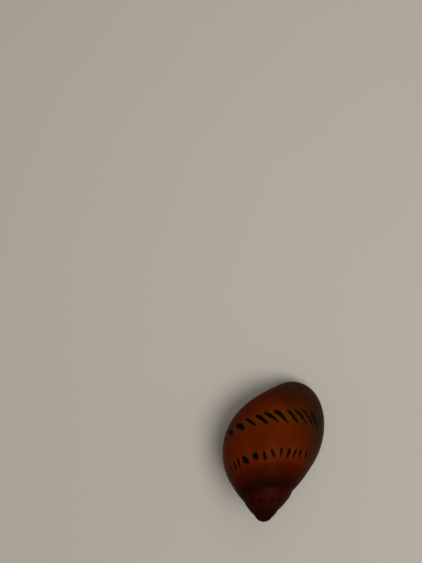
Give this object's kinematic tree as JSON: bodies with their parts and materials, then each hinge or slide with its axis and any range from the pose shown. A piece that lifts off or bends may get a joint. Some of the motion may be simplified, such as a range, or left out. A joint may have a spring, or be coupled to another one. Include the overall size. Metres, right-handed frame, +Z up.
{
  "type": "nerite snail",
  "caption": "Life-size crawling nerite snail: round orange-brown coiled shell with rows of dark ticks, broad foot, short snout, feelers and a lid on the tail.",
  "frame": {"origin": "middle of the foot's flat sole, on the surface the snail crawls on", "axes": "+Z up, the head towards -Y, the animal's left side towards +X"},
  "size_m": [0.0166, 0.0225, 0.0133],
  "materials": {
    "shell": "satin",
    "shelf": "smooth",
    "operculum": "satin",
    "flesh": "wet",
    "eye": "gloss"
  },
  "bodies": {
    "root": {"shell_last_whorl": "shell", "shell_second_whorl": "shell", "shell_apex": "shell", "shell_shelf": "shelf", "foot": "flesh", "operculum": "operculum", "head": "flesh", "tentacle_left_base": "flesh", "tentacle_left_tip": "flesh", "eye_stalk_left": "flesh", "eye_left": "eye", "tentacle_right_base": "flesh", "tentacle_right_tip": "flesh", "eye_stalk_right": "flesh", "eye_right": "eye"}
  },
  "joints": []
}
